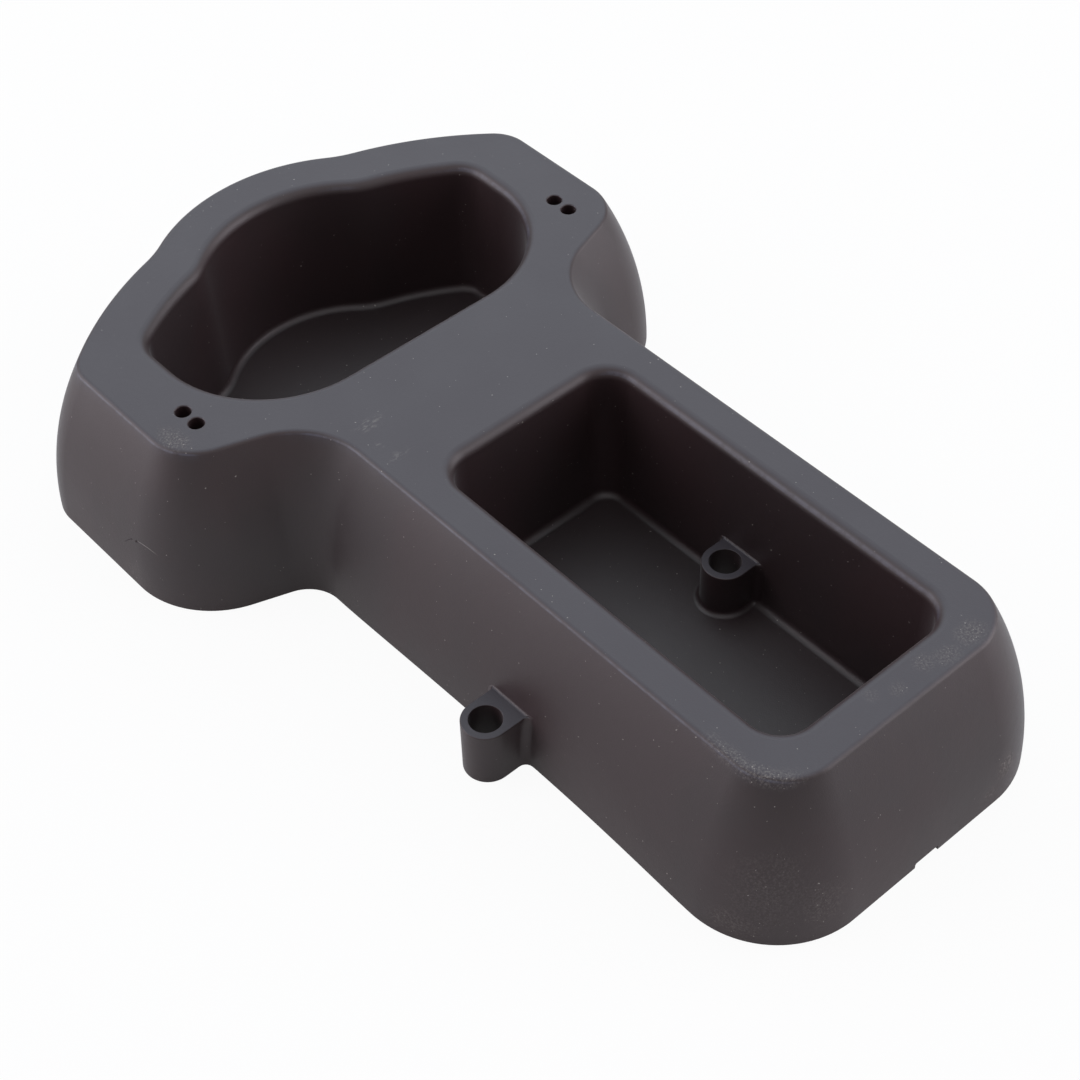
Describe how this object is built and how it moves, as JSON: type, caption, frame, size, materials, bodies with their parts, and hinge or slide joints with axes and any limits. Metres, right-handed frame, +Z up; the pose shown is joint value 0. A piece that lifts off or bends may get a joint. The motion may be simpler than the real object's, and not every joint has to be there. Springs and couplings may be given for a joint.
{
  "type": "riser base",
  "caption": "Moulded plastic riser base with a wide head, deep head pocket, long body with a rectangular pocket, anchor bosses and screw holes.",
  "frame": {"origin": "Middle of the bounding box on the floor plane under the foot", "axes": "+X from the wide head to the tail, +Y across toward the side without the outside boss, +Z up"},
  "size_m": [0.4225, 0.2612, 0.07],
  "materials": {
    "charcoal_plastic": "Moulded charcoal plastic with a fine matte grain, lightly scuffed at the edges"
  },
  "bodies": {
    "root": {"riser_base": "charcoal_plastic"}
  },
  "joints": []
}
